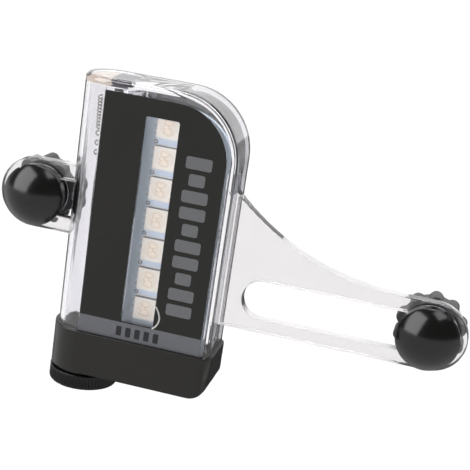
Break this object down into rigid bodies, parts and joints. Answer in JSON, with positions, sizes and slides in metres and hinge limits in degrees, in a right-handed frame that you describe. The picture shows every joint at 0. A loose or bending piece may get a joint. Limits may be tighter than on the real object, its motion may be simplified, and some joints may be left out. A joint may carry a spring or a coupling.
{
  "type": "bike light",
  "caption": "Clear wheel-spoke light with a column of lamps on each face, a battery tube, and a slotted ear and arm that carry two dome-headed spoke clamps.",
  "frame": {"origin": "middle of the left clamp's spoke groove, on the groove's axis", "axes": "+X along the arm to the right clamp, +Y through the thickness to the nuts (the dome heads face -Y), +Z along the spokes, up the case from the battery cap"},
  "size_m": [0.1009, 0.0146, 0.0668],
  "materials": {
    "clear_polycarbonate": "clear moulded polycarbonate",
    "printed_label": "satin film with a grey print",
    "white_board": "lacquered circuit board",
    "lamp_housing": "white moulded lamp housing",
    "lamp_gel": "clear silicone over cream phosphor",
    "solder": "bright solder",
    "black_epoxy": "moulded epoxy",
    "ceramic": "fired ceramic",
    "contact_steel": "nickel plated spring steel",
    "spring_steel": "nickel plated spring wire",
    "white_plastic": "moulded",
    "wire_sleeve": "white wire sleeve",
    "black_abs": "fine satin moulding",
    "gloss_black_abs": "polished moulding",
    "black_rubber": "moulded rubber",
    "zinc_steel": "zinc plated",
    "brass": "turned brass"
  },
  "bodies": {
    "case": {"clear_case": "clear_polycarbonate", "front_label": "printed_label", "back_label": "printed_label", "circuit_board": "white_board", "front_leds": "lamp_housing", "back_leds": "lamp_housing", "front_led_lenses": "lamp_gel", "back_led_lenses": "lamp_gel", "led_solder_feet": "solder", "solder_dots": "solder", "control_chip": "black_epoxy", "chip_legs": "solder", "resistors": "black_epoxy", "capacitors": "ceramic", "motion_switch": "contact_steel", "light_sensor": "lamp_gel", "top_contact": "contact_steel", "battery_spring": "spring_steel", "neck_contact": "contact_steel", "switch_body": "black_abs", "switch_leads": "wire_sleeve", "base_cap": "black_abs", "base_gasket": "black_rubber"},
    "button": {"mode_button": "black_rubber"},
    "plunger": {"switch_plunger": "white_plastic"},
    "cap_plug": {"cap_contact": "contact_steel", "cap_o_ring": "black_rubber"},
    "cap": {"screw_cap": "black_abs"},
    "left_carrier": {"left_washer": "zinc_steel"},
    "left_head": {"left_dome_head": "gloss_black_abs", "left_stud": "zinc_steel"},
    "left_nut": {"left_lobed_nut": "black_abs", "left_nut_insert": "brass"},
    "right_carrier": {"right_washer": "zinc_steel"},
    "right_head": {"right_dome_head": "gloss_black_abs", "right_stud": "zinc_steel"},
    "right_nut": {"right_lobed_nut": "black_abs", "right_nut_insert": "brass"}
  },
  "joints": [
    {"name": "button_press", "type": "slide", "parent": "case", "child": "button", "axis": [0, 0, 1], "range_m": [0, 0.0005], "stiffness_N_per_m": 900},
    {"name": "plunger_press", "type": "slide", "parent": "case", "child": "plunger", "axis": [0, 0, 1], "range_m": [0, 0.00045]},
    {"name": "cap_lift", "type": "slide", "parent": "case", "child": "cap_plug", "axis": [0, 0, -1], "range_m": [0, 0.006]},
    {"name": "cap_turn", "type": "hinge", "parent": "cap_plug", "child": "cap", "pos_m": [0.01765, 0.0024, -0.0378], "axis": [0, 0, -1], "range_deg": [0, 2160]},
    {"name": "left_slide", "type": "slide", "parent": "case", "child": "left_carrier", "axis": [1, 0, 0], "range_m": [0, 0.0006]},
    {"name": "left_open", "type": "slide", "parent": "left_carrier", "child": "left_head", "axis": [0, -1, 0], "range_m": [0, 0.002]},
    {"name": "left_turn", "type": "hinge", "parent": "left_carrier", "child": "left_nut", "pos_m": [0.0032, 0.0064, 0], "axis": [0, 1, 0], "range_deg": [0, 1440]},
    {"name": "right_slide", "type": "slide", "parent": "case", "child": "right_carrier", "axis": [-1, 0, 0], "range_m": [0, 0.03155]},
    {"name": "right_open", "type": "slide", "parent": "right_carrier", "child": "right_head", "axis": [0, -1, 0], "range_m": [0, 0.002]},
    {"name": "right_turn", "type": "hinge", "parent": "right_carrier", "child": "right_nut", "pos_m": [0.0884, 0.0064, -0.0128], "axis": [0, 1, 0], "range_deg": [0, 1440]}
  ],
  "couplings": [
    {"joint": "plunger_press", "follows": "button_press", "ratio": 0.9},
    {"joint": "cap_turn", "follows": "cap_lift", "rad_per_m": 6283.2},
    {"joint": "left_turn", "follows": "left_open", "rad_per_m": 12566},
    {"joint": "right_turn", "follows": "right_open", "rad_per_m": 12566}
  ]
}
